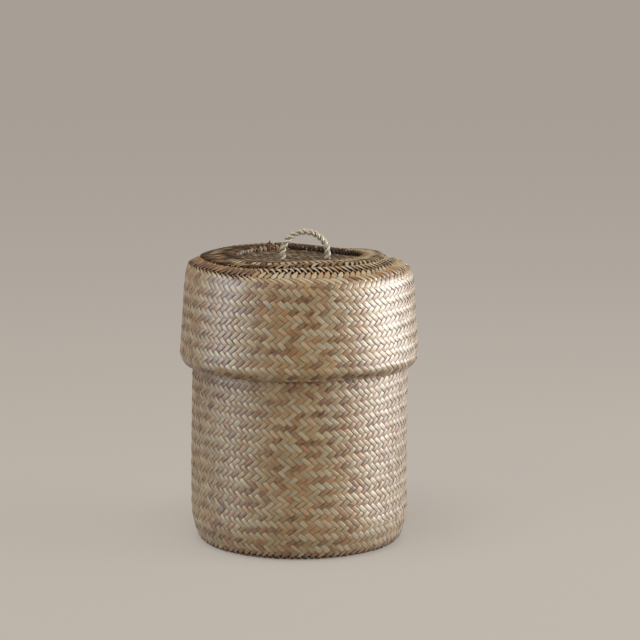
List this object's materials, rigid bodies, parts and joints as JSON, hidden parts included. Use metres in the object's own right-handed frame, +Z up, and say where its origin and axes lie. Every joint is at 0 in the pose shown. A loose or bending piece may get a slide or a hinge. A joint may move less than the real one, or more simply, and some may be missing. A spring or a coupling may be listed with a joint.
{
  "type": "lidded plaited basket",
  "caption": "Round upright basket plaited from flat plant strips in diagonal twill, with a deep lift-off lid that overlaps the wall and a twisted cord loop handle.",
  "frame": {"origin": "middle of the underside, on the surface that the basket stands on", "axes": "+Z up along the basket's axis, the front and the flat of the handle face -Y, +X to the viewer's right"},
  "size_m": [0.2724, 0.2724, 0.3542],
  "materials": {
    "straw_strips": "glossy dried flat plant strips, straw to tan",
    "edge_strips": "folded plant strips, straw",
    "brown_strips": "dried plant strips, brown and straw mixed",
    "grey_strips": "dried plant strips, grey tan, duller",
    "pale_cord": "two-ply twisted plant fibre cord, pale cream"
  },
  "bodies": {
    "basket": {"basket_base": "grey_strips", "basket_base_edge": "edge_strips", "basket_wall": "straw_strips", "basket_rim": "edge_strips", "basket_rim_hem": "straw_strips"},
    "lid": {"lid_skirt": "straw_strips", "lid_hem": "edge_strips", "lid_outer_ring": "edge_strips", "lid_inner_ring": "brown_strips", "lid_recess_wall": "brown_strips", "lid_centre_panel": "grey_strips", "handle_root_left": "pale_cord", "handle_root_right": "pale_cord"},
    "handle": {"handle_ply_a": "pale_cord", "handle_ply_b": "pale_cord"}
  },
  "joints": [
    {"name": "lid_lift", "type": "slide", "parent": "basket", "child": "lid", "axis": [0, 0, 1], "range_m": [0, 0.16]},
    {"name": "handle_tilt", "type": "hinge", "parent": "lid", "child": "handle", "pos_m": [0.0066, 0, 0.32573], "axis": [1, 0, 0], "range_deg": [-60, 60]}
  ]
}
